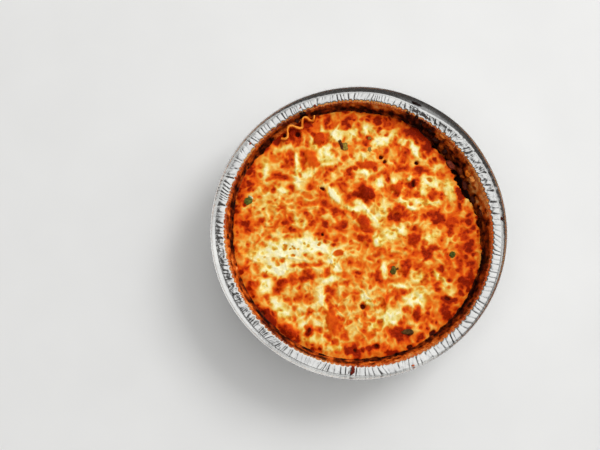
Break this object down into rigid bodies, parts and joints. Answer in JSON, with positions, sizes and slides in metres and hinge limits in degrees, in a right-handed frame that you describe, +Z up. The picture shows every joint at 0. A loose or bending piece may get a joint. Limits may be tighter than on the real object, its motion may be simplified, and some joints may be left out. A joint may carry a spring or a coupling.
{
  "type": "baked lasagna in a foil pan",
  "caption": "Baked lasagna with a browned, blistered cheese top, filling a round crimped foil pan that flares to a raised lip.",
  "frame": {"origin": "bottom centre of the bounding box, on the pan's axis at the plane it stands on", "axes": "+Z up along the pan's axis; +X to the right and +Y away from the viewer as the dish is usually seen"},
  "size_m": [0.1792, 0.1792, 0.0451],
  "materials": {
    "foil": "bright thin foil, crimped on the flange and fluted on the wall, baked brown inside above the food",
    "baked_cheese": "melted cheese over sauce, cream to golden with orange and dark red-brown blisters, a little oily",
    "pasta": "baked noodle edge, orange-yellow, slightly dry"
  },
  "bodies": {
    "root": {"foil_pan": "foil", "lasagna": "baked_cheese", "noodle_frill": "pasta"}
  },
  "joints": []
}
